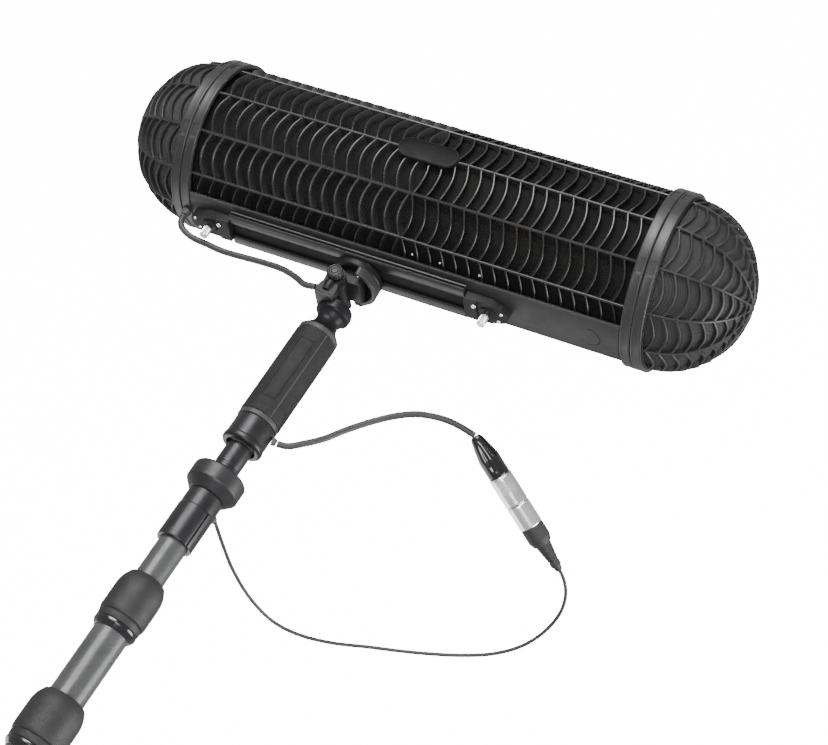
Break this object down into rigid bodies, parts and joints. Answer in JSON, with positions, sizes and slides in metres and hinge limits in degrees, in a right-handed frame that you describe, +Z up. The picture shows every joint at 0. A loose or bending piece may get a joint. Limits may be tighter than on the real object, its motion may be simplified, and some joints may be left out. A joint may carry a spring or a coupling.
{
  "type": "boom pole",
  "caption": "Telescopic boom pole with twist collars and foam grip, carrying a caged blimp windshield on a tilting handle, with a cable that loops from handle to pole tip.",
  "frame": {"origin": "middle of the foam hand grip, on the pole's axis", "axes": "+Y along the pole towards the microphone, +X across it towards the windshield's front dome, +Z up"},
  "size_m": [0.5405, 1.3746, 0.267],
  "materials": {
    "carbon": "woven carbon fibre under satin lacquer",
    "satin_black": "satin moulded",
    "gloss_black": "gloss",
    "black_metal": "black anodised",
    "grip_rubber": "knurled",
    "foam": "closed-cell foam",
    "cage_plastic": "satin moulded",
    "dome_mesh": "fine acoustic gauze",
    "nickel": "bright satin nickel",
    "elastic": "dark red elastic",
    "cable_jacket": "matte jacket"
  },
  "bodies": {
    "base_section": {"base_tube": "carbon", "foam_grip": "foam", "end_cap": "satin_black", "cable_socket": "gloss_black", "collar_ring_2": "gloss_black", "collet_2": "gloss_black"},
    "lock_collar_2": {"lock_collar_2": "grip_rubber"},
    "middle_section": {"middle_tube": "carbon", "collar_ring_1": "gloss_black", "collet_1": "gloss_black"},
    "lock_collar_1": {"lock_collar_1": "grip_rubber"},
    "top_section": {"top_tube": "carbon", "tip_sleeve": "gloss_black", "tip_stud": "gloss_black", "tip_grommet": "grip_rubber", "handle_cap": "satin_black", "grip_band_rear": "satin_black", "grip_band_front": "satin_black", "grip_rubber": "grip_rubber", "handle_core": "black_metal", "handle_grommet": "grip_rubber", "hinge_bolt": "nickel", "handle_lead": "cable_jacket", "pole_lead": "cable_jacket", "socket_boot": "gloss_black", "socket_shell": "nickel", "plug_shell": "nickel", "plug_boot": "grip_rubber"},
    "lock_disk": {"lock_disk": "satin_black"},
    "tilt_knob": {"tilt_knob": "satin_black"},
    "shoe": {"shoe": "satin_black", "rail_nut": "black_metal", "lead_grommet": "grip_rubber", "mic_lead": "cable_jacket"},
    "clamp_knob": {"clamp_knob": "satin_black"},
    "blimp": {"cage_rear": "cage_plastic", "cage_front": "cage_plastic", "base_panel": "satin_black", "badge_plate": "gloss_black", "rear_collar": "satin_black", "front_collar": "satin_black", "rail": "black_metal", "rail_block_rear": "satin_black", "rail_block_front": "satin_black", "block_screw_rear": "nickel", "block_screw_front": "nickel", "cable_gland": "grip_rubber", "inner_rail": "black_metal"},
    "suspension": {"suspension_ring_rear": "satin_black", "suspension_ring_front": "satin_black", "elastic_band_rear": "elastic", "elastic_band_front": "elastic", "microphone": "black_metal"},
    "thumb_screw_rear": {"thumb_screw_rear": "nickel"},
    "thumb_screw_front": {"thumb_screw_front": "nickel"},
    "rear_lock_ring": {"rear_lock_ring": "satin_black"},
    "front_lock_ring": {"front_lock_ring": "satin_black"},
    "rear_dome": {"rear_dome": "dome_mesh"},
    "front_dome": {"front_dome": "dome_mesh"},
    "release_latch": {"release_latch": "nickel"}
  },
  "joints": [
    {"name": "collar_2_twist", "type": "hinge", "parent": "base_section", "child": "lock_collar_2", "pos_m": [0, 0.58, 0], "axis": [0, 1, 0], "range_deg": [0, 120]},
    {"name": "middle_slide", "type": "slide", "parent": "base_section", "child": "middle_section", "axis": [0, 1, 0], "range_m": [-0.055, 0.56]},
    {"name": "collar_1_twist", "type": "hinge", "parent": "middle_section", "child": "lock_collar_1", "pos_m": [0, 0.685, 0], "axis": [0, 1, 0], "range_deg": [0, 120]},
    {"name": "top_slide", "type": "slide", "parent": "middle_section", "child": "top_section", "axis": [0, 1, 0], "range_m": [-0.031, 0.56]},
    {"name": "disk_turn", "type": "hinge", "parent": "top_section", "child": "lock_disk", "pos_m": [0, 0.796, 0], "axis": [0, 1, 0], "range_deg": [0, 180]},
    {"name": "head_tilt", "type": "hinge", "parent": "top_section", "child": "shoe", "pos_m": [-0.008, 0.9967, 0], "axis": [0, 0, 1], "range_deg": [-30, 35]},
    {"name": "tilt_knob_turn", "type": "hinge", "parent": "top_section", "child": "tilt_knob", "pos_m": [-0.008, 0.9967, 0.0236], "axis": [0, 0, 1], "range_deg": [0, 180]},
    {"name": "clamp_knob_turn", "type": "hinge", "parent": "shoe", "child": "clamp_knob", "pos_m": [-0.00108, 1.01514, -0.0268], "axis": [0, 0, 1], "range_deg": [0, 180]},
    {"name": "rail_slide", "type": "slide", "parent": "shoe", "child": "blimp", "axis": [0.9982, 0.0593, 0], "range_m": [-0.004, 0.06]},
    {"name": "suspension_slide", "type": "slide", "parent": "blimp", "child": "suspension", "axis": [0.9982, 0.0593, 0], "range_m": [-0.02, 0.015]},
    {"name": "thumb_screw_rear_turn", "type": "hinge", "parent": "blimp", "child": "thumb_screw_rear", "pos_m": [-0.13868, 1.0052, 0], "axis": [-0.0593, 0.9982, 0], "range_deg": [0, 180]},
    {"name": "thumb_screw_front_turn", "type": "hinge", "parent": "blimp", "child": "thumb_screw_front", "pos_m": [0.10955, 1.0199, 0], "axis": [-0.0593, 0.9982, 0], "range_deg": [0, 180]},
    {"name": "rear_ring_turn", "type": "hinge", "parent": "blimp", "child": "rear_lock_ring", "pos_m": [-0.17857, 1.0892, 0], "axis": [0.9982, 0.0593, 0], "range_deg": [0, 30]},
    {"name": "front_ring_turn", "type": "hinge", "parent": "blimp", "child": "front_lock_ring", "pos_m": [0.22508, 1.11321, 0], "axis": [0.9982, 0.0593, 0], "range_deg": [0, 30]},
    {"name": "rear_dome_pull", "type": "slide", "parent": "blimp", "child": "rear_dome", "axis": [-0.9982, -0.0593, 0], "range_m": [0, 0.08]},
    {"name": "front_dome_pull", "type": "slide", "parent": "blimp", "child": "front_dome", "axis": [0.9982, 0.0593, 0], "range_m": [0, 0.08]},
    {"name": "latch_press", "type": "slide", "parent": "top_section", "child": "release_latch", "axis": [-0.2795, 0.7088, -0.6476], "range_m": [0, 0.001], "stiffness_N_per_m": 400}
  ]
}
